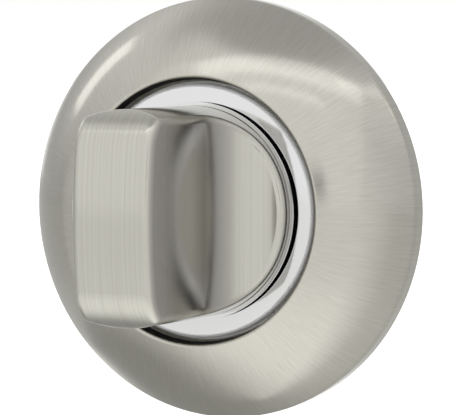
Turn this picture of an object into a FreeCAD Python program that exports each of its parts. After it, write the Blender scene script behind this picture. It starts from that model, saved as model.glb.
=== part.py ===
import FreeCAD, Part
import math
import os
import Sketcher

# Bathroom thumb turn lock: the inside half, with a domed round rose and a scooped turn knob.
# The door face is the plane Y = 0. The lock stands out from it along -Y, Z is up, and the knob
# turns about the Y axis. Heights over the door face are written as positive sizes.

SIZES = {
    # knob: the radii of the pieces around its foot and hub follow from it
    "knob_radius": 12.35,
    "knob_front": 30.3,
    "shelf_wall": 1.25,
    "knob_chamfer": 0.22,
    "bar_root_half": 5.12,
    "flank_radius": 600.0,
    "scoop_round": 6.0,
    "crown_radius": 60.0,
    "end_round": 5.0,
    "end_over": 0.16667,
    "edge_round": 1.0,
    "foot_step": 2.15,
    "neck_step": 2.2,
    "hub_end": 0.5,
    "flat_depth": 0.8,
    # rose cover
    "rose_radius": 25.0,
    "rim_height": 1.9,
    "rim_round": 1.4,
    "dome_radius": 22.0,
    "cover_wall": 1.4,
    "skirt_wall": 1.8,
    "ring_show": 3.3,
    "lip_rise": 1.35,
    "lip_round": 0.3,
    "lip_draft": 0.5,
    "ledge_drop": 0.9,
    # trim ring
    "ring_gap": 0.25,
    "ring_rise": 1.8,
    "ring_crown_radius": 20.0,
    "ring_round": 0.4,
    "ring_wall": 1.1,
    "ring_bore_gap": 0.4,
    "ring_fit": 0.05,
    "flange_lap": 1.45,
    "flange_wall": 0.8,
    # base plate
    "plate_fit": 0.2,
    "plate_wall": 2.2,
    "boss_inset": 0.55,
    "boss_height": 5.0,
    "recess_gap": 0.9,
    "post_gap": 0.3,
    "post_depth": 1.4,
    "post_width": 4.0,
    "post_height": 1.6,
    # fixing bolts
    "bolt_edge": 4.0,
    "bolt_radius": 2.0,
    "bolt_neck_radius": 1.77,
    "bolt_neck_length": 2.7,
    "bolt_head_radius": 3.4,
    "bolt_length": 26.0,
    "bolt_clearance": 0.15,
    "slot_width": 1.0,
    "slot_depth": 0.7,
    # snap ring between plate and cover
    "clip_wire": 0.4,
    "clip_inset": 0.15,
    "clip_angle": 338.0,
    "clip_groove": 0.1,
    # bearing bush
    "bush_wall": 1.5,
    "bush_flange_gap": 0.4,
    "bush_flange_wall": 0.8,
    "bush_fit": 0.05,
    "running_fit": 0.04,
    # washers under the knob
    "thrust_gap": 0.3,
    "thrust_inset": 0.35,
    "thrust_wall": 0.7,
    "foot_lap": 0.45,
    "foot_wall": 0.25,
    "foot_fit": 0.05,
    # stop disc
    "stop_gap": 0.5,
    "stop_wall": 1.0,
    "stop_fit": 0.03,
    "tab_gap": 0.6,
    "tab_width": 4.6,
    "swing_angle": 90.0,
    "play_angle": 1.44,
    # retaining ring and spring washer
    "groove_depth": 0.7,
    "groove_height": 1.3,
    "groove_width": 0.8,
    "retainer_lap": 2.0,
    "retainer_gap": 3.6,
    "retainer_fit": 0.04,
    "spring_gap": 0.3,
    "spring_width": 2.3,
    "spring_rise": 0.5,
    "spring_wall": 0.25,
    # spindle and cross pin
    "spindle_side": 6.0,
    "spindle_tail": 45.0,
    "spindle_seat": 19.0,
    "spindle_fit": 0.04,
    "spindle_chamfer": 0.5,
    "pin_radius": 1.25,
    "pin_height": 4.2,
    "pin_end_gap": 0.2,
    "pin_fit": 0.03,
}

# how near an edge lies to the place where it is looked for, and the least that a cut takes away
SNAP = 0.01
LEAST_CUT = 0.001


# A size knows its number and the sheet expression that gives it, so sums of sizes stay bound.
class Size:
    def __init__(self, number, text):
        self.number = number
        self.text = text

    def mixed(self, other, sign, number):
        return Size(number, "(%s %s %s)" % (self.text, sign, other.text))

    def __add__(self, other):
        other = as_size(other)
        return self.mixed(other, "+", self.number + other.number)

    def __sub__(self, other):
        other = as_size(other)
        return self.mixed(other, "-", self.number - other.number)

    def __mul__(self, other):
        other = as_size(other)
        return self.mixed(other, "*", self.number * other.number)

    def __truediv__(self, other):
        other = as_size(other)
        return self.mixed(other, "/", self.number / other.number)

    def __neg__(self):
        return Size(-self.number, "(0 - %s)" % self.text)


def as_size(value):
    if isinstance(value, Size):
        return value
    return Size(float(value), "%g" % value)


def root(size):
    return Size(math.sqrt(size.number), "sqrt(%s)" % size.text)


def lean(rise, reach):
    # the angle in degrees whose sine is rise over reach
    ratio = rise / reach
    return Size(math.degrees(math.asin(ratio.number)), "(asin(%s) / 1 deg)" % ratio.text)


doc = FreeCAD.newDocument("ThumbTurn")
sheet = doc.addObject("Spreadsheet::Sheet", "Sizes")
for row, (name, value) in enumerate(SIZES.items(), start=1):
    sheet.set("A%d" % row, name)
    sheet.set("B%d" % row, "%g" % value)
    sheet.setAlias("B%d" % row, name)
doc.recompute()


def size(name):
    return Size(SIZES[name], "Sizes." + name)


# Heights over the door face, from the hub's end outwards
hub_end = size("hub_end")
groove_low = size("groove_height")
groove_high = groove_low + size("groove_width")
recess_depth = groove_high + size("spring_rise")
plate_wall = size("plate_wall")
boss_height = size("boss_height")
bush_top = boss_height + size("bush_flange_wall")
neck_end = bush_top + size("stop_wall")
ring_height = neck_end + size("ring_rise")
lip_height = ring_height + size("lip_rise")
washer_seat = ring_height + size("thrust_wall")
knob_foot = washer_seat + size("foot_wall")
shelf_height = knob_foot + size("shelf_wall")
knob_front = size("knob_front")

# Radii of the knob and of what turns with it
knob_radius = size("knob_radius")
neck_radius = knob_radius - size("foot_step")
hub_radius = neck_radius - size("neck_step")
hub_flat_half = hub_radius - size("flat_depth")
groove_radius = hub_radius - size("groove_depth")
spring_inner = hub_radius + size("spring_gap")
spring_outer = spring_inner + size("spring_width")
bore_radius = hub_radius + size("bush_wall")
recess_radius = spring_outer + size("recess_gap")

# Radii of the opening, the trim ring in it and the boss that carries the ring
lip_radius = knob_radius + size("ring_show")
throat_radius = lip_radius - size("lip_draft")
ring_wall = size("ring_wall")
ring_bore = neck_radius + size("ring_bore_gap")
ring_radius = throat_radius - size("ring_gap")
ring_flat_radius = ring_radius - size("ring_round")
flange_radius = throat_radius + size("flange_lap")
boss_radius = ring_radius - size("boss_inset")
ring_skirt_outer = boss_radius - size("ring_fit")
ring_skirt_inner = ring_skirt_outer - ring_wall

# The ring's face is flat under the knob and falls off in a shallow crown towards its edge
ring_crown = size("ring_crown_radius")
crown_run = ring_flat_radius - knob_radius
crown_drop = ring_crown - root(ring_crown * ring_crown - crown_run * crown_run)
ring_shoulder_height = ring_height - crown_drop
ring_edge_height = ring_shoulder_height - size("ring_round")
ledge_height = ring_edge_height - size("ledge_drop")
flange_height = ledge_height - size("flange_wall")

# Stop posts inside the ring's skirt, and the disc whose tab swings between them
post_outer = ring_skirt_inner - size("post_gap")
post_inner = post_outer - size("post_depth")
post_half = size("post_width") / 2
tab_half = size("tab_width") / 2
tab_radius = ring_skirt_inner - size("tab_gap")
tab_angle = size("swing_angle") / 2 + 90
stop_lean = lean(post_half, post_inner) + lean(tab_half, post_inner) + size("play_angle")
post_angle = as_size(180) - tab_angle - stop_lean
stop_radius = post_inner - size("stop_gap")
bush_flange_radius = stop_radius - size("bush_flange_gap")

# Rim of the rose, the plate inside it and the snap ring between them
rose_radius = size("rose_radius")
rim_height = size("rim_height")
dome_radius = size("dome_radius")
skirt_radius = rose_radius - size("skirt_wall")
plate_radius = skirt_radius - size("plate_fit")
bolt_reach = plate_radius - size("bolt_edge")
bolt_radius = size("bolt_radius")
clip_radius = plate_radius - size("clip_inset")
clip_height = plate_wall / 2
clip_room = size("clip_wire") + size("clip_groove")


# Building blocks
def new_body(label):
    body = doc.addObject("PartDesign::Body", label)
    body.Label = label
    return body


def origin_plane(body, role):
    return [part for part in body.Origin.OriginFeatures if part.Role == role][0]


def new_sketch(body, name, role, lift=None, turn=None):
    # a sketch on an origin plane, lifted off it and turned on it where sizes for that are given
    sketch = body.newObject("Sketcher::SketchObject", name)
    sketch.AttachmentSupport = [(origin_plane(body, role), "")]
    sketch.MapMode = "FlatFace"
    if lift is not None:
        sketch.setExpression("AttachmentOffset.Base.z", as_size(lift).text)
    if turn is not None:
        around = FreeCAD.Rotation(FreeCAD.Vector(0, 0, 1), turn.number)
        sketch.AttachmentOffset = FreeCAD.Placement(FreeCAD.Vector(), around)
        sketch.setExpression("AttachmentOffset.Rotation.Angle", turn.text)
    return sketch


def pin_point(sketch, edge, end, x, y):
    # holds one end of an edge at x, y from the sketch's origin
    for kind, axis, value in (("DistanceX", -2, x), ("DistanceY", -1, y)):
        if abs(value.number) < 1e-9:
            sketch.addConstraint(Sketcher.Constraint("PointOnObject", edge, end, axis))
        else:
            constraint = Sketcher.Constraint(kind, -1, 1, edge, end, value.number)
            place = sketch.addConstraint(constraint)
            sketch.setExpression("Constraints[%d]" % place, value.text)


def arc_between(start, end, radius):
    # the short arc from start to end: counter-clockwise for a positive radius
    middle = (start + end) * 0.5
    chord = end - start
    reach = math.sqrt(max(radius * radius - chord.Length ** 2 / 4, 0.0))
    side = FreeCAD.Vector(-chord.y, chord.x, 0).normalize() * math.copysign(reach, radius)
    centre = middle + side
    first, last = (start, end) if radius > 0 else (end, start)
    begin = math.atan2(first.y - centre.y, first.x - centre.x)
    finish = math.atan2(last.y - centre.y, last.x - centre.x)
    circle = Part.Circle(centre, FreeCAD.Vector(0, 0, 1), abs(radius))
    return Part.ArcOfCircle(circle, begin, finish)


def outline(sketch, corners):
    # closed outline: a corner with a third value is reached by an arc of that signed radius
    corners = [tuple(as_size(value) for value in corner) for corner in corners]
    count = len(corners)
    points = [FreeCAD.Vector(corner[0].number, corner[1].number, 0) for corner in corners]
    first_edge = sketch.GeometryCount
    heads = []
    for index in range(count):
        start = points[index]
        finish = points[(index + 1) % count]
        target = corners[(index + 1) % count]
        if len(target) == 3:
            edge = sketch.addGeometry(arc_between(start, finish, target[2].number), False)
            forward = target[2].number > 0
            bend = target[2] if forward else -target[2]
            place = sketch.addConstraint(Sketcher.Constraint("Radius", edge, bend.number))
            sketch.setExpression("Constraints[%d]" % place, bend.text)
            heads.append((1, 2) if forward else (2, 1))
        else:
            sketch.addGeometry(Part.LineSegment(start, finish), False)
            heads.append((1, 2))
    for index in range(count):
        edge = first_edge + index
        before = first_edge + (index - 1) % count
        joint = Sketcher.Constraint(
            "Coincident", before, heads[(index - 1) % count][1], edge, heads[index][0])
        sketch.addConstraint(joint)
        pin_point(sketch, edge, heads[index][0], corners[index][0], corners[index][1])
    return sketch


def round_outline(sketch, radius, x=0.0, y=0.0):
    radius, x, y = as_size(radius), as_size(x), as_size(y)
    centre = FreeCAD.Vector(x.number, y.number, 0)
    circle = Part.Circle(centre, FreeCAD.Vector(0, 0, 1), radius.number)
    edge = sketch.addGeometry(circle, False)
    place = sketch.addConstraint(Sketcher.Constraint("Radius", edge, radius.number))
    sketch.setExpression("Constraints[%d]" % place, radius.text)
    pin_point(sketch, edge, 3, x, y)
    return sketch


def box_outline(sketch, low_x, low_y, high_x, high_y):
    return outline(sketch, [(low_x, low_y), (high_x, low_y), (high_x, high_y), (low_x, high_y)])


def turned(body, name, corners, cut=False):
    # revolves a profile of (radius, height) corners about the Y axis
    sketch = new_sketch(body, name + "_profile", "XY_Plane")
    flipped = []
    for corner in corners:
        bend = tuple(-as_size(value) for value in corner[2:])
        flipped.append((corner[0], -as_size(corner[1])) + bend)
    outline(sketch, flipped)
    kind = "PartDesign::Groove" if cut else "PartDesign::Revolution"
    feature = body.newObject(kind, name)
    feature.Profile = sketch
    feature.ReferenceAxis = (sketch, ["V_Axis"])
    feature.Angle = 360.0
    return feature


def raised(body, name, sketch, height):
    pad = body.newObject("PartDesign::Pad", name)
    pad.Profile = sketch
    pad.setExpression("Length", as_size(height).text)
    return pad


def cut_through(body, name, sketch):
    # a cut that runs right through the piece to both sides of its sketch
    pocket = body.newObject("PartDesign::Pocket", name)
    pocket.Profile = sketch
    pocket.Type = "ThroughAll"
    pocket.Midplane = True
    return pocket


def cut_outward(body, name, sketch, depth):
    # a cut of a given depth from its sketch away from the door
    pocket = body.newObject("PartDesign::Pocket", name)
    pocket.Profile = sketch
    pocket.Reversed = True
    pocket.setExpression("Length", as_size(depth).text)
    return pocket


def mirrored(body, name, feature):
    copy = body.newObject("PartDesign::Mirrored", name)
    copy.Originals = [feature]
    copy.MirrorPlane = (origin_plane(body, "YZ_Plane"), [""])
    body.Tip = copy
    return copy


def edges_where(shape, test):
    return ["Edge%d" % (i + 1) for i, edge in enumerate(shape.Edges) if test(edge)]


def dress(body, kind, name, base, test, amount):
    # a fillet or chamfer on those edges of the base feature that pass the test
    doc.recompute()
    feature = body.newObject("PartDesign::" + kind, name)
    feature.Base = (base, edges_where(base.Shape, test))
    measure = "Radius" if kind == "Fillet" else "Size"
    feature.setExpression(measure, as_size(amount).text)
    return feature


def ring_edge(radius, height):
    # test for a whole circle of this radius at this height over the door face
    def test(edge):
        curve = edge.Curve
        if not isinstance(curve, Part.Circle):
            return False
        near = abs(curve.Radius - radius.number) < SNAP
        return near and abs(-curve.Center.y - height.number) < SNAP
    return test


# Fixed pieces
def make_rose_cover():
    body = new_body("rose_cover")
    inner_dome = dome_radius - size("cover_wall")
    half_rise = (lip_height - rim_height) / 2
    half_run = (rose_radius - lip_radius) / 2
    half_chord = root(half_rise * half_rise + half_run * half_run)
    drop = root(dome_radius * dome_radius - half_chord * half_chord)
    centre_radius = rose_radius - half_run - drop * half_rise / half_chord
    centre_height = rim_height + half_rise - drop * half_run / half_chord
    shell_run = skirt_radius - centre_radius
    shell_height = centre_height + root(inner_dome * inner_dome - shell_run * shell_run)
    ledge_rise = ledge_height - centre_height
    ledge_radius = centre_radius + root(inner_dome * inner_dome - ledge_rise * ledge_rise)
    shell = turned(body, "cover_shell", [
        (skirt_radius, 0),
        (rose_radius, 0),
        (rose_radius, rim_height),
        (lip_radius, lip_height, dome_radius),
        (throat_radius, ledge_height),
        (ledge_radius, ledge_height),
        (skirt_radius, shell_height, -inner_dome),
    ])
    groove_reach = clip_radius + clip_room
    groove = turned(body, "clip_seat", [
        (skirt_radius - clip_room, clip_height - clip_room),
        (groove_reach, clip_height - clip_room),
        (groove_reach, clip_height + clip_room),
        (skirt_radius - clip_room, clip_height + clip_room),
    ], cut=True)
    rim = dress(body, "Fillet", "rim_edge", groove, ring_edge(rose_radius, rim_height), size("rim_round"))
    dress(body, "Fillet", "lip_edge", rim, ring_edge(lip_radius, lip_height), size("lip_round"))
    return body


def make_trim_ring():
    body = new_body("trim_ring")
    turned(body, "ring_section", [
        (ring_bore, ring_height - ring_wall),
        (ring_skirt_inner, ring_height - ring_wall),
        (ring_skirt_inner, boss_height),
        (ring_skirt_outer, boss_height),
        (ring_skirt_outer, flange_height),
        (flange_radius, flange_height),
        (flange_radius, ledge_height),
        (ring_radius, ledge_height),
        (ring_radius, ring_edge_height),
        (ring_flat_radius, ring_shoulder_height, size("ring_round")),
        (knob_radius, ring_height, ring_crown),
        (ring_bore, ring_height),
    ])
    return body


def make_base_plate():
    body = new_body("base_plate")
    turned(body, "plate_section", [
        (recess_radius, 0),
        (plate_radius, 0),
        (plate_radius, plate_wall),
        (boss_radius, plate_wall),
        (boss_radius, boss_height),
        (bore_radius, boss_height),
        (bore_radius, recess_depth),
        (recess_radius, recess_depth),
    ])
    turned(body, "clip_groove", [
        (clip_radius - clip_room, clip_height - clip_room),
        (plate_radius + clip_room, clip_height - clip_room),
        (plate_radius + clip_room, clip_height + clip_room),
        (clip_radius - clip_room, clip_height + clip_room),
    ], cut=True)
    post_sketch = new_sketch(body, "post_outline", "XZ_Plane", boss_height, post_angle)
    box_outline(post_sketch, post_inner, -post_half, post_outer, post_half)
    post = raised(body, "stop_post", post_sketch, size("post_height"))
    mirrored(body, "stop_posts", post)
    hole_sketch = new_sketch(body, "bolt_centres", "XZ_Plane", plate_wall)
    for reach in (bolt_reach, -bolt_reach):
        round_outline(hole_sketch, bolt_radius, 0, reach)
    doc.recompute()
    hole = body.newObject("PartDesign::Hole", "bolt_holes")
    hole.Profile = hole_sketch
    hole.DepthType = "ThroughAll"
    hole.setExpression("Diameter", ((bolt_radius + size("bolt_clearance")) * 2).text)
    hole.HoleCutType = "Countersink"
    hole.HoleCutCustomValues = True
    hole.HoleCutCountersinkAngle = 90.0
    head_width = (size("bolt_head_radius") + size("bolt_clearance")) * 2
    hole.setExpression("HoleCutDiameter", head_width.text)
    return body


def make_cover_clip():
    clip = doc.addObject("Part::Torus", "cover_clip")
    clip.setExpression("Radius1", clip_radius.text)
    clip.setExpression("Radius2", "Sizes.clip_wire")
    clip.setExpression("Angle3", "Sizes.clip_angle")
    clip.Placement = FreeCAD.Placement(FreeCAD.Vector(), FreeCAD.Rotation(FreeCAD.Vector(1, 0, 0), 90))
    clip.setExpression("Placement.Base.y", (-clip_height).text)
    return clip


def make_hub_bush():
    body = new_body("hub_bush")
    inner = hub_radius + size("running_fit")
    outer = bore_radius - size("bush_fit")
    turned(body, "bush_section", [
        (inner, recess_depth),
        (outer, recess_depth),
        (outer, boss_height),
        (bush_flange_radius, boss_height),
        (bush_flange_radius, bush_top),
        (inner, bush_top),
    ])
    return body


def make_flat_washer(label, inner, outer, low, high):
    body = new_body(label)
    turned(body, label + "_section", [(inner, low), (outer, low), (outer, high), (inner, high)])
    return body


def make_spring_washer():
    body = new_body("spring_washer")
    wall = size("spring_wall")
    turned(body, "spring_section", [
        (spring_inner, groove_high),
        (spring_outer, recess_depth - wall),
        (spring_outer, recess_depth),
        (spring_inner, groove_high + wall),
    ])
    return body


def lying(shape_type, name, height, reach=None):
    # a primitive whose axis points out from the door, with its base at this height
    solid = doc.addObject(shape_type, name)
    around = FreeCAD.Rotation(FreeCAD.Vector(1, 0, 0), 90)
    solid.Placement = FreeCAD.Placement(FreeCAD.Vector(), around)
    solid.setExpression("Placement.Base.y", (-height).text)
    if reach is not None:
        solid.setExpression("Placement.Base.z", reach.text)
    return solid


def make_fixing_bolts():
    # countersunk bolts: a slotted head, a thin neck through the plate and the threaded length
    head_radius = size("bolt_head_radius")
    thin_radius = size("bolt_neck_radius")
    thin_length = size("bolt_neck_length")
    head_depth = head_radius - thin_radius
    slot_depth = size("slot_depth")
    slot_half = size("slot_width") / 2
    thread = lying("Part::Cylinder", "bolt_thread", plate_wall - size("bolt_length"), bolt_reach)
    thread.setExpression("Radius", bolt_radius.text)
    thread.setExpression("Height", (size("bolt_length") - thin_length).text)
    neck = lying("Part::Cylinder", "bolt_neck", plate_wall - thin_length, bolt_reach)
    neck.setExpression("Radius", thin_radius.text)
    neck.setExpression("Height", (thin_length - head_depth).text)
    head = lying("Part::Cone", "bolt_head", plate_wall - head_depth, bolt_reach)
    head.setExpression("Radius1", thin_radius.text)
    head.setExpression("Radius2", head_radius.text)
    head.setExpression("Height", head_depth.text)
    slot = lying("Part::Box", "bolt_slot", plate_wall - slot_depth, bolt_reach + slot_half)
    slot.setExpression("Placement.Base.x", (-head_radius).text)
    slot.setExpression("Length", (head_radius * 2).text)
    slot.setExpression("Width", (slot_half * 2).text)
    slot.setExpression("Height", (slot_depth * 2).text)
    whole = doc.addObject("Part::MultiFuse", "bolt_blank")
    whole.Shapes = [thread, neck, head]
    bolt = doc.addObject("Part::Cut", "bolt")
    bolt.Base = whole
    bolt.Tool = slot
    twin = doc.addObject("Part::Mirroring", "bolt_twin")
    twin.Source = bolt
    twin.Normal = FreeCAD.Vector(0, 0, 1)
    pair = doc.addObject("Part::Compound", "fixing_bolts")
    pair.Links = [bolt, twin]
    return pair


# Turning pieces
def make_turn_knob():
    body = new_body("turn_knob")
    chamfer = size("knob_chamfer")
    turned(body, "knob_blank", [
        (0, hub_end),
        (hub_radius, hub_end),
        (hub_radius, neck_end),
        (neck_radius, neck_end),
        (neck_radius, knob_foot),
        (knob_radius - chamfer, knob_foot),
        (knob_radius, knob_foot + chamfer),
        (knob_radius, knob_front),
        (0, knob_front),
    ])
    cut_scoops(body)
    cut_crown(body)
    cut_hub(body)
    doc.recompute()
    soften_knob(body)
    return body


def cut_scoops(body):
    # a wide cove runs from each shelf into a flank that leans in a little towards the front
    scoop_round = size("scoop_round")
    root_half = size("bar_root_half")
    flank_radius = size("flank_radius")
    flank_run = knob_front - shelf_height
    lean_in = flank_radius - root(flank_radius * flank_radius - flank_run * flank_run)
    beyond = knob_radius + scoop_round
    over = -knob_front - scoop_round
    sketch = new_sketch(body, "scoop_outline", "XY_Plane")
    outline(sketch, [
        (beyond, -shelf_height),
        (root_half + scoop_round, -shelf_height),
        (root_half, -shelf_height - scoop_round, scoop_round),
        (root_half - lean_in, over, -flank_radius),
        (beyond, over),
    ])
    mirrored(body, "scoops", cut_through(body, "scoop", sketch))


def cut_crown(body):
    # the front is a shallow arc along the bar that rolls over at both ends
    crown_radius = size("crown_radius")
    end_round = size("end_round")
    roll_half = knob_radius + size("end_over")
    crown_half = (roll_half - end_round) / (as_size(1) - end_round / crown_radius)
    rise = root(crown_radius * crown_radius - crown_half * crown_half)
    edge = -knob_front + crown_radius - rise
    roll_start = edge + end_round * rise / crown_radius
    over = -knob_front - end_round
    wide = roll_half + end_round
    sketch = new_sketch(body, "crown_outline", "YZ_Plane")
    outline(sketch, [
        (over, wide),
        (over, -wide),
        (roll_start, -wide),
        (roll_start, -roll_half),
        (edge, -crown_half, -end_round),
        (edge, crown_half, -crown_radius),
        (roll_start, roll_half, -end_round),
        (roll_start, wide),
    ])
    cut_through(body, "crown", sketch)


def cut_hub(body):
    seat_half = size("spindle_side") / 2 + size("spindle_fit")
    seat = new_sketch(body, "spindle_seat_outline", "XZ_Plane", hub_end)
    box_outline(seat, -seat_half, -seat_half, seat_half, seat_half)
    seat_depth = size("spindle_seat") + size("spindle_fit") - hub_end
    cut_outward(body, "spindle_seat", seat, seat_depth)
    flats = new_sketch(body, "flat_outlines", "XZ_Plane", hub_end)
    box_outline(flats, hub_flat_half, -hub_radius, hub_radius * 2, hub_radius)
    box_outline(flats, -hub_radius * 2, -hub_radius, -hub_flat_half, hub_radius)
    cut_outward(body, "hub_flats", flats, neck_end - hub_end)
    turned(body, "retainer_groove", [
        (groove_radius, groove_low),
        (neck_radius, groove_low),
        (neck_radius, groove_high),
        (groove_radius, groove_high),
    ], cut=True)
    cross = new_sketch(body, "pin_outline", "YZ_Plane")
    round_outline(cross, size("pin_radius") + size("pin_fit"), -size("pin_height"), 0)
    cut_through(body, "pin_hole", cross)


def soften_knob(body):
    # rounds the shelves' rims and every edge of the thumb bar above the roots of the scoops
    shelf = shelf_height.number
    bar_low = shelf + SIZES["scoop_round"] + SIZES["edge_round"]

    def on_rim(edge):
        low, high = -edge.BoundBox.YMax, -edge.BoundBox.YMin
        level = high - low < SNAP and abs(low - shelf) < SNAP
        around_shelf = level and isinstance(edge.Curve, Part.Circle)
        around_bar = high > bar_low and not isinstance(edge.Curve, Part.Line)
        return around_shelf or around_bar

    dress(body, "Fillet", "knob_edges", body.Tip, on_rim, size("edge_round"))


def make_stop_disc():
    body = new_body("stop_disc")
    wall = size("stop_wall")
    fit = size("stop_fit")
    disc = new_sketch(body, "disc_outline", "XZ_Plane", bush_top)
    round_outline(disc, stop_radius)
    raised(body, "disc", disc, wall)
    tab = new_sketch(body, "tab_outline", "XZ_Plane", bush_top, tab_angle)
    box_outline(tab, hub_radius + wall, -tab_half, tab_radius, tab_half)
    raised(body, "tab", tab, wall)
    opening = new_sketch(body, "key_outline", "XZ_Plane", bush_top)
    flat = hub_flat_half + fit
    bore = hub_radius + fit
    side = root(bore * bore - flat * flat)
    outline(opening, [
        (flat, -side, bore),
        (flat, side),
        (-flat, side, bore),
        (-flat, -side),
    ])
    cut_through(body, "key", opening)
    return body


def make_retaining_ring():
    body = new_body("retaining_ring")
    fit = size("retainer_fit")
    outer = hub_radius + size("retainer_lap")
    gap_half = size("retainer_gap") / 2
    sketch = new_sketch(body, "retainer_outline", "XZ_Plane", groove_low + fit / 2)
    round_outline(sketch, outer)
    round_outline(sketch, groove_radius + fit)
    raised(body, "retainer", sketch, size("groove_width") - fit)
    gap = new_sketch(body, "gap_outline", "XZ_Plane")
    box_outline(gap, -gap_half, -outer - gap_half, gap_half, -groove_radius + gap_half)
    cut_through(body, "gap", gap)
    return body


def make_spindle():
    body = new_body("spindle")
    half = size("spindle_side") / 2
    tail = size("spindle_tail")
    seat = size("spindle_seat")
    sketch = new_sketch(body, "spindle_outline", "XZ_Plane", -tail)
    box_outline(sketch, -half, -half, half, half)
    bar = raised(body, "square_bar", sketch, tail + seat)

    def on_end(edge):
        box = edge.BoundBox
        return box.YLength < SNAP and len(edge.Vertexes) == 2

    dress(body, "Chamfer", "bar_ends", bar, on_end, size("spindle_chamfer"))
    cross = new_sketch(body, "pin_outline", "YZ_Plane")
    round_outline(cross, size("pin_radius") + size("pin_fit"), -size("pin_height"), 0)
    cut_through(body, "pin_hole", cross)
    return body


def make_spindle_pin():
    half = hub_flat_half - size("pin_end_gap")
    pin = doc.addObject("Part::Cylinder", "spindle_pin")
    around = FreeCAD.Rotation(FreeCAD.Vector(0, 1, 0), 90)
    pin.Placement = FreeCAD.Placement(FreeCAD.Vector(), around)
    pin.setExpression("Placement.Base.x", (-half).text)
    pin.setExpression("Placement.Base.y", (-size("pin_height")).text)
    pin.setExpression("Radius", "Sizes.pin_radius")
    pin.setExpression("Height", (half * 2).text)
    return pin


def check_model(pieces):
    doc.recompute()
    for item in doc.Objects:
        if "Invalid" in item.State or "Error" in item.State:
            raise RuntimeError("%s did not build: %s" % (item.Name, item.State))
        if item.TypeId in ("PartDesign::Pocket", "PartDesign::Groove", "PartDesign::Hole"):
            removed = item.BaseFeature.Shape.Volume - item.Shape.Volume
            if removed < LEAST_CUT:
                raise RuntimeError("%s cuts nothing" % item.Name)
    for piece in pieces:
        if piece.Shape.isNull() or not piece.Shape.isValid():
            raise RuntimeError("%s has no valid shape" % piece.Label)
        print("%-16s %9.2f mm3, %d solid(s)" % (
            piece.Label, piece.Shape.Volume, len(piece.Shape.Solids)))


def main():
    pieces = [
        make_rose_cover(),
        make_trim_ring(),
        make_base_plate(),
        make_cover_clip(),
        make_hub_bush(),
        make_flat_washer(
            "thrust_washer", ring_bore + size("thrust_gap"), knob_radius - size("thrust_inset"),
            ring_height, washer_seat),
        make_spring_washer(),
        make_fixing_bolts(),
        make_turn_knob(),
        make_flat_washer(
            "foot_washer", neck_radius + size("foot_fit"), knob_radius + size("foot_lap"),
            washer_seat, knob_foot),
        make_stop_disc(),
        make_retaining_ring(),
        make_spindle(),
        make_spindle_pin(),
    ]
    check_model(pieces)
    os.makedirs("parts", exist_ok=True)
    for piece in pieces:
        piece.Shape.exportStep("parts/%s.step" % piece.Label)


main()
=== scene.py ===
import math
import bpy
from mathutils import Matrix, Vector

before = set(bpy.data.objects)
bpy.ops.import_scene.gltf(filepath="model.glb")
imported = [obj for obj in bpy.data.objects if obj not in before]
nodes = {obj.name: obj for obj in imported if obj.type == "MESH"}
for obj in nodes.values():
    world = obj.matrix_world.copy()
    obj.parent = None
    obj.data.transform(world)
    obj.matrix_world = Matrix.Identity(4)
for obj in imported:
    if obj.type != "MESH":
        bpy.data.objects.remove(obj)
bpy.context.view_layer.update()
scene = bpy.context.scene
print("frame:", len(nodes), "nodes")


# small helpers

mmPerMetre = 1000  # the frame is in metres, and the sizes of patterns are in mm
pureDark, pureLight = 0.3, 0.7  # noise levels at which a pattern is all dark or all light


def linearColour(hexText):
    # sRGB hex to the linear colour that Blender's sockets take
    parts = [int(hexText[i:i + 2], 16) / 255 for i in (1, 3, 5)]
    return [p / 12.92 if p <= 0.04045 else ((p + 0.055) / 1.055) ** 2.4 for p in parts] + [1.0]


def addNode(tree, kind, settings=None, links=None):
    # adds one node, sets its values or sockets, and links sources into its sockets
    node = tree.nodes.new(kind)
    for name, value in (settings or {}).items():
        if name == "stops":
            # a ramp's positions, each with its colour or its grey level
            elements = node.color_ramp.elements
            while len(elements) < len(value):
                elements.new(0.5)
            for element, (position, colour) in zip(elements, sorted(value)):
                element.position = position
                element.color = colour if isinstance(colour, list) else (colour, colour, colour, 1)
        elif isinstance(name, int) or name in node.inputs:
            node.inputs[name].default_value = value
        else:
            setattr(node, name, value)
    for socket, source in (links or {}).items():
        tree.links.new(source, node.inputs[socket])
    return node


def newMaterial(name):
    material = bpy.data.materials.new(name)
    material.use_nodes = True
    material.node_tree.nodes.clear()
    return material, material.node_tree


def giveMaterial(nodeNames, material):
    for nodeName in nodeNames:
        for slot in nodes[nodeName].material_slots:
            slot.material = material


def directionTo(azimuth, elevation):
    # unit vector: azimuth 0 is straight out from the door, 90 is to the right
    turn, rise = math.radians(azimuth), math.radians(elevation)
    reach = math.cos(rise)
    return Vector((math.sin(turn) * reach, -math.cos(turn) * reach, math.sin(rise)))


# camera at the photograph's angle: 26.2 degrees to the right of the rose's axis, 3.3 above

cameraSettings = {"azimuth": 26.2, "elevation": 3.27, "distance": 0.4, "lens": 261.92,
                  "shiftX": 0.00217, "shiftY": -0.00076, "clipStart": 0.01}
outward = directionTo(cameraSettings["azimuth"], cameraSettings["elevation"])
bpy.ops.object.camera_add(location=outward * cameraSettings["distance"])
camera = bpy.context.object
camera.rotation_euler = outward.to_track_quat("Z", "Y").to_euler()
camera.data.lens = cameraSettings["lens"]
camera.data.shift_x = cameraSettings["shiftX"]
camera.data.shift_y = cameraSettings["shiftY"]
camera.data.clip_start = cameraSettings["clipStart"]
scene.camera = camera
scene.view_settings.view_transform = "Standard"
print("camera set")
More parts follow.
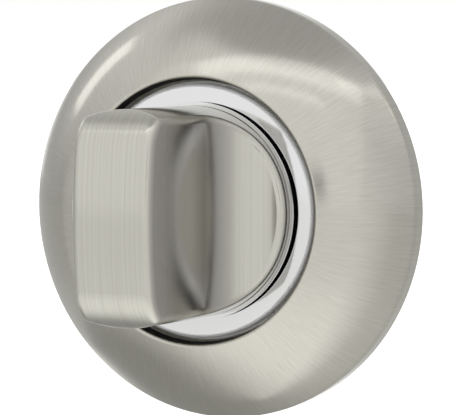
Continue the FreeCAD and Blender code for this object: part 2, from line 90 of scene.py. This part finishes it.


# satin nickel on the rose: plated zinc brushed outwards from the centre, a warm grey whose
# highlights stretch round the rose across the strokes; the lip of its opening is rubbed dull,
# and the opening's wall under the lip is painted near black, as painted shade for a deep gap

# strokes are in mm, as coarse as they need to be to show; halfwayOut is where they have their
# true width; places are in metres, out from the axis or along Y, which points into the door
roseSettings = {"dark": "#b9b7ae", "light": "#c2c0b7", "wall": "#171614", "roughness": 0.14,
                "roughnessSpread": 0.035, "lipRoughness": 0.5, "wallRoughness": 0.6,
                "anisotropy": 0.5, "strokeWidth": 0.13, "strokeLength": 2.4, "halfwayOut": 20,
                "strokeDetail": 2.0, "strokeBreak": 0.6, "bump": 0.05, "bumpDepth": 0.0001,
                "lipStart": 0.0154, "lipEnd": 0.0162, "wallTop": -0.0097, "wallFoot": -0.0083,
                "wallReach": 0.0158, "wallEdge": 0.0001}

brushedRose, tree = newMaterial("satinNickelBrushedOutward")
place = addNode(tree, "ShaderNodeTexCoord").outputs["Object"]
flat = addNode(tree, "ShaderNodeVectorMath", {"operation": "MULTIPLY", 1: (1, 0, 1)}, {0: place})
away = addNode(tree, "ShaderNodeVectorMath", {"operation": "LENGTH"}, {0: flat.outputs[0]})

# strokes: noise drawn out along the rays from the axis
ray = addNode(tree, "ShaderNodeVectorMath", {"operation": "NORMALIZE"}, {0: flat.outputs[0]})
spread = addNode(tree, "ShaderNodeVectorMath", {
    "operation": "SCALE", "Scale": roseSettings["halfwayOut"] / roseSettings["strokeWidth"]},
    {0: ray.outputs[0]})
along = addNode(tree, "ShaderNodeMath", {
    "operation": "MULTIPLY", 1: mmPerMetre / roseSettings["strokeLength"]},
    {0: away.outputs["Value"]})
lift = addNode(tree, "ShaderNodeCombineXYZ", links={"Y": along.outputs[0]})
where = addNode(tree, "ShaderNodeVectorMath", {"operation": "ADD"},
                {0: spread.outputs[0], 1: lift.outputs[0]})
strokes = addNode(tree, "ShaderNodeTexNoise", {
    "Scale": 1.0, "Detail": roseSettings["strokeDetail"],
    "Roughness": roseSettings["strokeBreak"]}, {"Vector": where.outputs[0]}).outputs["Fac"]
tone = addNode(tree, "ShaderNodeValToRGB", {"stops": [
    (pureDark, linearColour(roseSettings["dark"])),
    (pureLight, linearColour(roseSettings["light"]))]}, {"Fac": strokes})
gloss = addNode(tree, "ShaderNodeMapRange", {
    "To Min": roseSettings["roughness"] - roseSettings["roughnessSpread"],
    "To Max": roseSettings["roughness"] + roseSettings["roughnessSpread"]}, {"Value": strokes})

# the rubbed lip, and the painted shade on the wall under it, which sets in over the width wallEdge
onLip = addNode(tree, "ShaderNodeMapRange", {
    "interpolation_type": "SMOOTHSTEP", "From Min": roseSettings["lipEnd"],
    "From Max": roseSettings["lipStart"]}, {"Value": away.outputs["Value"]})
lipGloss = addNode(tree, "ShaderNodeMix", {"B": roseSettings["lipRoughness"]},
                   {"Factor": onLip.outputs[0], "A": gloss.outputs[0]})
depth = addNode(tree, "ShaderNodeSeparateXYZ", links={0: place})
belowTop = addNode(tree, "ShaderNodeMapRange", {
    "From Min": roseSettings["wallTop"],
    "From Max": roseSettings["wallTop"] + roseSettings["wallEdge"]},
    {"Value": depth.outputs["Y"]})
aboveFoot = addNode(tree, "ShaderNodeMapRange", {
    "From Min": roseSettings["wallFoot"],
    "From Max": roseSettings["wallFoot"] - roseSettings["wallEdge"]},
    {"Value": depth.outputs["Y"]})
inside = addNode(tree, "ShaderNodeMapRange", {
    "From Min": roseSettings["wallReach"] + roseSettings["wallEdge"],
    "From Max": roseSettings["wallReach"]}, {"Value": away.outputs["Value"]})
between = addNode(tree, "ShaderNodeMath", {"operation": "MULTIPLY"},
                  {0: belowTop.outputs[0], 1: aboveFoot.outputs[0]})
paintedShadeOnWall = addNode(tree, "ShaderNodeMath", {"operation": "MULTIPLY"},
                 {0: between.outputs[0], 1: inside.outputs[0]})
# painted shade: the wall under the lip takes a near-black colour in place of the gap's shadow
colour = addNode(tree, "ShaderNodeMix", {
    "data_type": "RGBA", 7: linearColour(roseSettings["wall"])},
    {"Factor": paintedShadeOnWall.outputs[0], 6: tone.outputs[0]})
wholeGloss = addNode(tree, "ShaderNodeMix", {"B": roseSettings["wallRoughness"]},
                     {"Factor": paintedShadeOnWall.outputs[0], "A": lipGloss.outputs[0]})
relief = addNode(tree, "ShaderNodeBump", {
    "Strength": roseSettings["bump"], "Distance": roseSettings["bumpDepth"]},
    {"Height": strokes})
around = addNode(tree, "ShaderNodeTangent", {"direction_type": "RADIAL", "axis": "Y"})
surface = addNode(tree, "ShaderNodeBsdfPrincipled", {
    "Metallic": 1.0, "Anisotropic": roseSettings["anisotropy"]}, {
    "Base Color": colour.outputs[2], "Roughness": wholeGloss.outputs[0],
    "Normal": relief.outputs[0], "Tangent": around.outputs[0]})
addNode(tree, "ShaderNodeOutputMaterial", links={"Surface": surface.outputs[0]})
print("rose's nickel made")


# satin nickel on the knob: brushed straight from top to bottom in fine lines; the bar's two
# flanks are painted a little darker, as painted shade, and show the shelf as in a dull mirror,
# rougher at their front edges, where fingers rub, and in their coves, where the polish doesn't
# reach

# strokes are in mm, as coarse as they need to be to show; the flank is where the normal's X is
# past flankStart and flankFull, and its wear sets in between wearStart and wearFull
knobSettings = {"dark": "#b8b6ad", "light": "#c3c2b9", "flank": "#b2afaa", "roughness": 0.16,
                "roughnessSpread": 0.03, "flankRoughness": 0.14, "anisotropy": 0.5,
                "strokeWidth": 0.3, "strokeDepth": 6, "strokeLength": 90, "strokeDetail": 2.0,
                "strokeBreak": 0.6, "bump": 0.03, "bumpDepth": 0.0001, "frontFace": -0.0303,
                "shelfFace": -0.013, "flankStart": 0.7, "flankFull": 0.95, "wearStart": 0.4,
                "wearFull": 0.8}
# roughness added to the flank from its front edge to the foot of its cove
flankWear = [(0.0, 0.28), (0.2, 0.15), (0.38, 0.02), (0.6, 0.0), (0.7, 0.05), (0.82, 0.1),
             (1.0, 0.12)]

brushedKnob, tree = newMaterial("satinNickelBrushedUpright")
coordinates = addNode(tree, "ShaderNodeTexCoord")
place = coordinates.outputs["Object"]
facing = addNode(tree, "ShaderNodeSeparateXYZ", links={0: coordinates.outputs["Normal"]})
sideways = addNode(tree, "ShaderNodeMath", {"operation": "ABSOLUTE"}, {0: facing.outputs["X"]})
onFlank = addNode(tree, "ShaderNodeMapRange", {
    "From Min": knobSettings["flankStart"], "From Max": knobSettings["flankFull"]},
    {"Value": sideways.outputs[0]})

# strokes stay fine across the face that they lie on, and wide through it, so that they run
# straight
fine, wide, length = [mmPerMetre / knobSettings[size]
                      for size in ("strokeWidth", "strokeDepth", "strokeLength")]
onFront = addNode(tree, "ShaderNodeMapping", {"Scale": (fine, wide, length)}, {"Vector": place})
onSide = addNode(tree, "ShaderNodeMapping", {"Scale": (wide, fine, length)}, {"Vector": place})
stretch = addNode(tree, "ShaderNodeMix", {"data_type": "VECTOR"}, {
    "Factor": onFlank.outputs[0], 4: onFront.outputs[0], 5: onSide.outputs[0]})
strokes = addNode(tree, "ShaderNodeTexNoise", {
    "Scale": 1.0, "Detail": knobSettings["strokeDetail"],
    "Roughness": knobSettings["strokeBreak"]}, {"Vector": stretch.outputs[1]}).outputs["Fac"]
tone = addNode(tree, "ShaderNodeValToRGB", {"stops": [
    (pureDark, linearColour(knobSettings["dark"])),
    (pureLight, linearColour(knobSettings["light"]))]}, {"Fac": strokes})
# painted shade: both flanks, picked out by their normals, take a darker copy of the nickel's
# colour
colour = addNode(tree, "ShaderNodeMix", {
    "data_type": "RGBA", 7: linearColour(knobSettings["flank"])},
    {"Factor": onFlank.outputs[0], 6: tone.outputs[0]})
streaks = addNode(tree, "ShaderNodeMapRange", {
    "To Min": knobSettings["roughness"] - knobSettings["roughnessSpread"],
    "To Max": knobSettings["roughness"] + knobSettings["roughnessSpread"]}, {"Value": strokes})
gloss = addNode(tree, "ShaderNodeMix", {"B": knobSettings["flankRoughness"]},
                {"Factor": onFlank.outputs[0], "A": streaks.outputs[0]})
depth = addNode(tree, "ShaderNodeSeparateXYZ", links={0: place})
inward = addNode(tree, "ShaderNodeMapRange", {
    "From Min": knobSettings["frontFace"], "From Max": knobSettings["shelfFace"]},
    {"Value": depth.outputs["Y"]})
wear = addNode(tree, "ShaderNodeValToRGB", {"stops": flankWear}, {"Fac": inward.outputs[0]})
nearFlank = addNode(tree, "ShaderNodeMapRange", {
    "From Min": knobSettings["wearStart"], "From Max": knobSettings["wearFull"]},
    {"Value": sideways.outputs[0]})
wornGloss = addNode(tree, "ShaderNodeMath", {"operation": "MULTIPLY_ADD"}, {
    0: wear.outputs[0], 1: nearFlank.outputs[0], 2: gloss.outputs[0]})
relief = addNode(tree, "ShaderNodeBump", {
    "Strength": knobSettings["bump"], "Distance": knobSettings["bumpDepth"]},
    {"Height": strokes})
across = addNode(tree, "ShaderNodeTangent", {"direction_type": "RADIAL", "axis": "Z"})
surface = addNode(tree, "ShaderNodeBsdfPrincipled", {
    "Metallic": 1.0, "Anisotropic": knobSettings["anisotropy"]}, {
    "Base Color": colour.outputs[2], "Roughness": wornGloss.outputs[0],
    "Normal": relief.outputs[0], "Tangent": across.outputs[0]})
addNode(tree, "ShaderNodeOutputMaterial", links={"Surface": surface.outputs[0]})
print("knob's nickel made")


# chrome plate on the ring and the foot washer: polished, nearly a mirror, with faint buffing,
# and hazy at the ring's outer edge, which the buffing wheel doesn't reach; that edge is also
# painted paler, as painted light over a dark reflection

# grain is the buffing's size in mm; the edge is in metres out from the axis
chromeSettings = {"colour": "#d9d9d9", "edge": "#f2f2f2", "roughness": 0.05,
                  "roughnessSpread": 0.03, "edgeRoughness": 0.9, "grain": 3.0,
                  "grainDetail": 4.0, "edgeStart": 0.0144, "edgeEnd": 0.0146}

polishedChrome, tree = newMaterial("polishedChrome")
place = addNode(tree, "ShaderNodeTexCoord").outputs["Object"]
haze = addNode(tree, "ShaderNodeTexNoise", {
    "Scale": mmPerMetre / chromeSettings["grain"], "Detail": chromeSettings["grainDetail"]},
    {"Vector": place}).outputs["Fac"]
gloss = addNode(tree, "ShaderNodeMapRange", {
    "To Min": chromeSettings["roughness"],
    "To Max": chromeSettings["roughness"] + chromeSettings["roughnessSpread"]}, {"Value": haze})
flat = addNode(tree, "ShaderNodeVectorMath", {"operation": "MULTIPLY", 1: (1, 0, 1)}, {0: place})
away = addNode(tree, "ShaderNodeVectorMath", {"operation": "LENGTH"}, {0: flat.outputs[0]})
edgeHazeAndPaintedLight = addNode(tree, "ShaderNodeMapRange", {
    "From Min": chromeSettings["edgeStart"], "From Max": chromeSettings["edgeEnd"]},
    {"Value": away.outputs["Value"]})
edgeGloss = addNode(tree, "ShaderNodeMix", {"B": chromeSettings["edgeRoughness"]},
                    {"Factor": edgeHazeAndPaintedLight.outputs[0], "A": gloss.outputs[0]})
# painted light: the outer edge takes a paler colour, lightening a dark reflection there
colour = addNode(tree, "ShaderNodeMix", {
    "data_type": "RGBA", 6: linearColour(chromeSettings["colour"]),
    7: linearColour(chromeSettings["edge"])}, {"Factor": edgeHazeAndPaintedLight.outputs[0]})
surface = addNode(tree, "ShaderNodeBsdfPrincipled", {"Metallic": 1.0}, {
    "Base Color": colour.outputs[2], "Roughness": edgeGloss.outputs[0]})
addNode(tree, "ShaderNodeOutputMaterial", links={"Surface": surface.outputs[0]})
print("chrome made")


# the plainer materials, each with one noise that mottles its tone, its gloss and its relief;
# grain is the noise's size in mm on each axis

grainSettings = {"detail": 5.0, "break": 0.65, "depth": 0.0002}


def grainedMaterial(name, settings):
    material, tree = newMaterial(name)
    place = addNode(tree, "ShaderNodeTexCoord").outputs["Object"]
    stretch = addNode(tree, "ShaderNodeMapping", {
        "Scale": [mmPerMetre / size for size in settings["grain"]]}, {"Vector": place})
    grain = addNode(tree, "ShaderNodeTexNoise", {
        "Scale": 1.0, "Detail": grainSettings["detail"], "Roughness": grainSettings["break"]},
        {"Vector": stretch.outputs[0]}).outputs["Fac"]
    tone = addNode(tree, "ShaderNodeValToRGB", {"stops": [
        (pureDark, linearColour(settings["dark"])),
        (pureLight, linearColour(settings["light"]))]}, {"Fac": grain})
    gloss = addNode(tree, "ShaderNodeMapRange", {
        "To Min": settings["smooth"], "To Max": settings["rough"]}, {"Value": grain})
    relief = addNode(tree, "ShaderNodeBump", {
        "Strength": settings["bump"], "Distance": grainSettings["depth"]}, {"Height": grain})
    surface = addNode(tree, "ShaderNodeBsdfPrincipled", {"Metallic": settings["metallic"]}, {
        "Base Color": tone.outputs[0], "Roughness": gloss.outputs[0],
        "Normal": relief.outputs[0]})
    addNode(tree, "ShaderNodeOutputMaterial", links={"Surface": surface.outputs[0]})
    return material


# black nylon on the washer under the foot and the bush: the fine black line round the foot
nylonSettings = {"dark": "#0e0e0e", "light": "#171716", "grain": (0.4, 0.4, 0.4),
                 "smooth": 0.45, "rough": 0.6, "bump": 0.1, "metallic": 0.0}
blackNylon = grainedMaterial("blackNylon", nylonSettings)

# raw die-cast zinc on the base plate: a dull, blotchy blue-grey skin
castSettings = {"dark": "#85888b", "light": "#a0a3a5", "grain": (1.6, 1.6, 1.6),
                "smooth": 0.38, "rough": 0.58, "bump": 0.3, "metallic": 1.0}
castZinc = grainedMaterial("dieCastZinc", castSettings)

# tempered spring steel on the cover clip and the spring washer: dark, smooth and bluish
springSettings = {"dark": "#54585e", "light": "#6a6f76", "grain": (2.5, 0.5, 2.5),
                  "smooth": 0.22, "rough": 0.36, "bump": 0.08, "metallic": 1.0}
springSteel = grainedMaterial("springSteel", springSettings)

# phosphated steel on the retaining ring: a matt charcoal coat
phosphateSettings = {"dark": "#2c2d2e", "light": "#3c3d3e", "grain": (0.5, 0.5, 0.5),
                     "smooth": 0.45, "rough": 0.65, "bump": 0.2, "metallic": 0.6}
phosphatedSteel = grainedMaterial("phosphatedSteel", phosphateSettings)

# bright zinc plate on the bolts, the stop disc and the cross pin: a cool grey, cloudy gloss
platedSettings = {"dark": "#b4b8bc", "light": "#cdd0d2", "grain": (1.1, 1.1, 1.1),
                  "smooth": 0.2, "rough": 0.38, "bump": 0.1, "metallic": 1.0}
zincPlatedSteel = grainedMaterial("zincPlatedSteel", platedSettings)

# cold drawn steel on the spindle: long faint lines from the die along the bar
drawnSettings = {"dark": "#8f9192", "light": "#abacab", "grain": (0.25, 12.0, 0.25),
                 "smooth": 0.24, "rough": 0.4, "bump": 0.15, "metallic": 1.0}
drawnSteel = grainedMaterial("coldDrawnSteel", drawnSettings)

giveMaterial(["rose_cover"], brushedRose)
giveMaterial(["turn_knob"], brushedKnob)
giveMaterial(["trim_ring", "foot_washer"], polishedChrome)
giveMaterial(["thrust_washer", "hub_bush"], blackNylon)
giveMaterial(["base_plate"], castZinc)
giveMaterial(["cover_clip", "spring_washer"], springSteel)
giveMaterial(["retaining_ring"], phosphatedSteel)
giveMaterial(["fixing_bolts", "stop_disc", "spindle_pin"], zincPlatedSteel)
giveMaterial(["spindle"], drawnSteel)
print("materials given")


# studio floor: one pale colour, lit up in front of the lock and along the white run behind it,
# with a soft shade under the lock

# the run's half width grows by paperSpread for each metre that it goes back, its sides are soft
# over paperEdge, and it comes up between paperStart and paperFull behind the lock
floorSettings = {"colour": "#bebebc", "height": -0.055, "size": 6, "glow": 0.9,
                 "paperHalf": 0.028, "paperSpread": 0.1, "paperEdge": 0.03,
                 "paperStart": 0.03, "paperFull": 0.12, "shade": (-0.048, 0.02, 0)}
# the glow's share at each azimuth round the lock
floorLight = [(-90, 0.35), (-60, 0.6), (-40, 0.85), (-15, 0.95), (10, 1.0), (54, 1.0),
              (66, 0.74), (76, 0.48), (90, 0.4), (110, 0.32), (180, 0.3), (235, 0.2)]
# and at each distance in metres from the middle of the shade under the lock
floorNear = [(0.0, 0.0), (0.034, 0.02), (0.048, 0.3), (0.057, 0.65), (0.066, 0.9),
             (0.078, 1.0), (0.1, 0.95), (0.16, 0.7), (0.3, 0.66), (1.0, 0.66)]


def levelRound(tree, place, levels):
    # grey level by the azimuth round the lock
    straightOut = 0.25  # what a radial gradient reads at azimuth 0
    turn = addNode(tree, "ShaderNodeTexGradient", {"gradient_type": "RADIAL"}, {"Vector": place})
    stops = [((straightOut + azimuth / 360) % 1, level) for azimuth, level in levels]
    ramp = addNode(tree, "ShaderNodeValToRGB", {"stops": stops}, {"Fac": turn.outputs["Fac"]})
    return ramp.outputs[0]


bpy.ops.object.select_all(action="DESELECT")
bpy.ops.mesh.primitive_plane_add(size=floorSettings["size"],
                                 location=(0, 0, floorSettings["height"]))
floor = bpy.context.object
floor.name = "floor"
floorPaint, tree = newMaterial("floorPaint")
place = addNode(tree, "ShaderNodeTexCoord").outputs["Object"]

# the white run behind the lock, along the camera's line of sight
sightline = directionTo(cameraSettings["azimuth"], 0)
aside = addNode(tree, "ShaderNodeVectorMath", {
    "operation": "DOT_PRODUCT", 1: (-sightline.y, sightline.x, 0)}, {0: place})
offLine = addNode(tree, "ShaderNodeMath", {"operation": "ABSOLUTE"}, {0: aside.outputs["Value"]})
behind = addNode(tree, "ShaderNodeVectorMath", {"operation": "DOT_PRODUCT", 1: -sightline},
                 {0: place})
farther = addNode(tree, "ShaderNodeMath", {"operation": "MAXIMUM", 1: 0},
                  {0: behind.outputs["Value"]})
paperHalf = addNode(tree, "ShaderNodeMath", {
    "operation": "MULTIPLY_ADD", 1: floorSettings["paperSpread"], 2: floorSettings["paperHalf"]},
    {0: farther.outputs[0]})
outside = addNode(tree, "ShaderNodeMath", {"operation": "SUBTRACT"},
                  {0: offLine.outputs[0], 1: paperHalf.outputs[0]})
onPaper = addNode(tree, "ShaderNodeMapRange", {
    "interpolation_type": "SMOOTHSTEP", "From Min": 0, "From Max": floorSettings["paperEdge"],
    "To Min": 1, "To Max": 0}, {"Value": outside.outputs[0]})
pastLock = addNode(tree, "ShaderNodeMapRange", {
    "interpolation_type": "SMOOTHSTEP", "From Min": floorSettings["paperStart"],
    "From Max": floorSettings["paperFull"]}, {"Value": behind.outputs["Value"]})
paper = addNode(tree, "ShaderNodeMath", {"operation": "MULTIPLY"},
                {0: onPaper.outputs[0], 1: pastLock.outputs[0]})

# the light in front, which fades round to the sides, and the shade close under the lock
away = addNode(tree, "ShaderNodeVectorMath", {
    "operation": "DISTANCE", 1: floorSettings["shade"]}, {0: place})
near = addNode(tree, "ShaderNodeValToRGB", {"stops": floorNear}, {"Fac": away.outputs["Value"]})
inFront = addNode(tree, "ShaderNodeMath", {"operation": "MULTIPLY"},
                  {0: levelRound(tree, place, floorLight), 1: near.outputs[0]})
light = addNode(tree, "ShaderNodeMath", {"operation": "MAXIMUM"},
                {0: paper.outputs[0], 1: inFront.outputs[0]})

# the floor takes shadows as a matt paint, and the camera and the metal also see it glow
paint = addNode(tree, "ShaderNodeBsdfDiffuse", {"Color": linearColour(floorSettings["colour"])})
rays = addNode(tree, "ShaderNodeLightPath")
mirrored = addNode(tree, "ShaderNodeMath", {"operation": "MAXIMUM"}, {
    0: rays.outputs["Is Glossy Ray"], 1: rays.outputs["Is Transmission Ray"]})
seen = addNode(tree, "ShaderNodeMath", {"operation": "MAXIMUM"}, {
    0: rays.outputs["Is Camera Ray"], 1: mirrored.outputs[0]})
shown = addNode(tree, "ShaderNodeMath", {"operation": "MULTIPLY", 1: floorSettings["glow"]},
                {0: seen.outputs[0]})
strength = addNode(tree, "ShaderNodeMath", {"operation": "MULTIPLY"},
                   {0: shown.outputs[0], 1: light.outputs[0]})
glow = addNode(tree, "ShaderNodeEmission", links={"Strength": strength.outputs[0]})
surface = addNode(tree, "ShaderNodeAddShader", links={0: paint.outputs[0], 1: glow.outputs[0]})
addNode(tree, "ShaderNodeOutputMaterial", links={"Surface": surface.outputs[0]})
floor.data.materials.append(floorPaint)
print("floor laid")


# studio walls: brightest in front of the lock, duller towards the back and under the ceiling,
# with white paper behind the lock

# paper, ceiling and back each set in between a start and an end, as cosine from the paper's
# middle, as sine of the elevation and as the direction's Y; backShare is what is left at the
# back of the levels by elevation
wallSettings = {"white": 1.0, "paperAzimuth": 206.2, "paperStart": 0.88, "paperEnd": 0.96,
                "ceilingStart": 0.84, "ceilingEnd": 0.93, "backStart": 0.2, "backEnd": 0.7,
                "backShare": 0.75}
# level at each azimuth
wallRound = [(-120, 0.56), (-105, 0.57), (-90, 0.66), (-75, 0.82), (-55, 0.97), (-15, 1.0),
             (42, 1.0), (55, 0.97), (62, 0.93), (70, 0.86), (80, 0.8), (90, 0.76), (105, 0.7),
             (135, 0.64), (180, 0.6)]
# level at each sine of the elevation, where that is the brighter, and alone in the ceiling
wallUp = [(0, 0.5), (0.2, 0.7), (0.4, 0.84), (0.6, 0.95), (0.72, 0.93), (0.84, 0.7),
          (0.93, 0.6), (1, 0.56)]

world = bpy.data.worlds.new("studio")
scene.world = world
world.use_nodes = True
tree = world.node_tree
tree.nodes.clear()
towards = addNode(tree, "ShaderNodeTexCoord").outputs["Generated"]
heading = addNode(tree, "ShaderNodeSeparateXYZ", links={0: towards})
walls = addNode(tree, "ShaderNodeValToRGB", {"stops": wallUp}, {"Fac": heading.outputs["Z"]})
toBack = addNode(tree, "ShaderNodeMapRange", {
    "interpolation_type": "SMOOTHSTEP", "From Min": wallSettings["backStart"],
    "From Max": wallSettings["backEnd"], "To Min": 1.0, "To Max": wallSettings["backShare"]},
    {"Value": heading.outputs["Y"]})
upward = addNode(tree, "ShaderNodeMath", {"operation": "MULTIPLY"},
                 {0: walls.outputs[0], 1: toBack.outputs[0]})
brighter = addNode(tree, "ShaderNodeMath", {"operation": "MAXIMUM"},
                   {0: levelRound(tree, towards, wallRound), 1: upward.outputs[0]})
underCeiling = addNode(tree, "ShaderNodeMapRange", {
    "interpolation_type": "SMOOTHSTEP", "From Min": wallSettings["ceilingEnd"],
    "From Max": wallSettings["ceilingStart"]}, {"Value": heading.outputs["Z"]})
room = addNode(tree, "ShaderNodeMix", links={
    "Factor": underCeiling.outputs[0], "A": upward.outputs[0], "B": brighter.outputs[0]})
nearPaper = addNode(tree, "ShaderNodeVectorMath", {
    "operation": "DOT_PRODUCT", 1: directionTo(wallSettings["paperAzimuth"], 0)}, {0: towards})
onBackdrop = addNode(tree, "ShaderNodeMapRange", {
    "interpolation_type": "SMOOTHSTEP", "From Min": wallSettings["paperStart"],
    "From Max": wallSettings["paperEnd"]}, {"Value": nearPaper.outputs["Value"]})
level = addNode(tree, "ShaderNodeMix", {"B": wallSettings["white"]},
                {"Factor": onBackdrop.outputs[0], "A": room.outputs[0]})
background = addNode(tree, "ShaderNodeBackground", {"Color": (1, 1, 1, 1)},
                     {"Strength": level.outputs[0]})
addNode(tree, "ShaderNodeOutputWorld", links={"Surface": background.outputs[0]})
print("walls lit")


# soft lamps, each with its direction and distance from the lock, its size in metres, and its
# level, which its size turns into power; the roll tilts the right strip's line

studioLamps = [
    {"name": "frontBox", "azimuth": 5, "elevation": 22, "distance": 1.2, "width": 2.8,
     "height": 2.0, "level": 0.1},
    {"name": "topStrip", "azimuth": 18, "elevation": 61, "distance": 1.0, "width": 1.4,
     "height": 0.19, "level": 0.44},
    {"name": "lowerStrip", "azimuth": 16, "elevation": 47, "distance": 1.0, "width": 0.6,
     "height": 0.05, "level": 0.45},
    {"name": "rightStrip", "azimuth": 88, "elevation": 46, "distance": 1.0, "width": 0.7,
     "height": 0.06, "roll": -34, "level": 0.5},
    {"name": "leftWindow", "azimuth": -103, "elevation": 27, "distance": 0.9, "width": 0.15,
     "height": 0.33, "level": 0.75}]
for settings in studioLamps:
    towards = directionTo(settings["azimuth"], settings["elevation"])
    bpy.ops.object.light_add(type="AREA", location=towards * settings["distance"])
    lamp = bpy.context.object
    lamp.name = settings["name"]
    lamp.rotation_euler = towards.to_track_quat("Z", "Y").to_euler()
    lamp.rotation_euler.rotate_axis("Z", math.radians(settings.get("roll", 0)))
    lamp.data.shape = "RECTANGLE"
    lamp.data.size = settings["width"]
    lamp.data.size_y = settings["height"]
    lamp.data.energy = math.pi * settings["width"] * settings["height"] * settings["level"]
    lamp.visible_camera = False
print("lamps hung")


# soft grey card behind the camera, whose shade the knob and the rose throw back; a falloff of 2
# lets it fade out just at its edges

cardSettings = {"azimuth": 29, "elevation": 8, "distance": 0.75, "width": 0.2, "height": 0.32,
                "falloff": 2.0, "colour": "#a0a0a0"}
towards = directionTo(cardSettings["azimuth"], cardSettings["elevation"])
bpy.ops.object.select_all(action="DESELECT")
bpy.ops.mesh.primitive_plane_add(size=1, location=towards * cardSettings["distance"])
card = bpy.context.object
card.name = "cameraCard"
card.scale = (cardSettings["width"], cardSettings["height"], 1)
card.rotation_euler = towards.to_track_quat("Z", "Y").to_euler()
card.visible_camera = False
card.visible_shadow = False
cardPaper, tree = newMaterial("cardPaper")
place = addNode(tree, "ShaderNodeTexCoord").outputs["Object"]
fromMiddle = addNode(tree, "ShaderNodeVectorMath", {
    "operation": "SCALE", "Scale": cardSettings["falloff"]}, {0: place})
middle = addNode(tree, "ShaderNodeTexGradient", {"gradient_type": "QUADRATIC_SPHERE"},
                 {"Vector": fromMiddle.outputs[0]})
paper = addNode(tree, "ShaderNodeBsdfDiffuse", {"Color": linearColour(cardSettings["colour"])})
clear = addNode(tree, "ShaderNodeBsdfTransparent")
surface = addNode(tree, "ShaderNodeMixShader", links={
    0: middle.outputs["Fac"], 1: clear.outputs[0], 2: paper.outputs[0]})
addNode(tree, "ShaderNodeOutputMaterial", links={"Surface": surface.outputs[0]})
card.data.materials.append(cardPaper)
print("card placed")
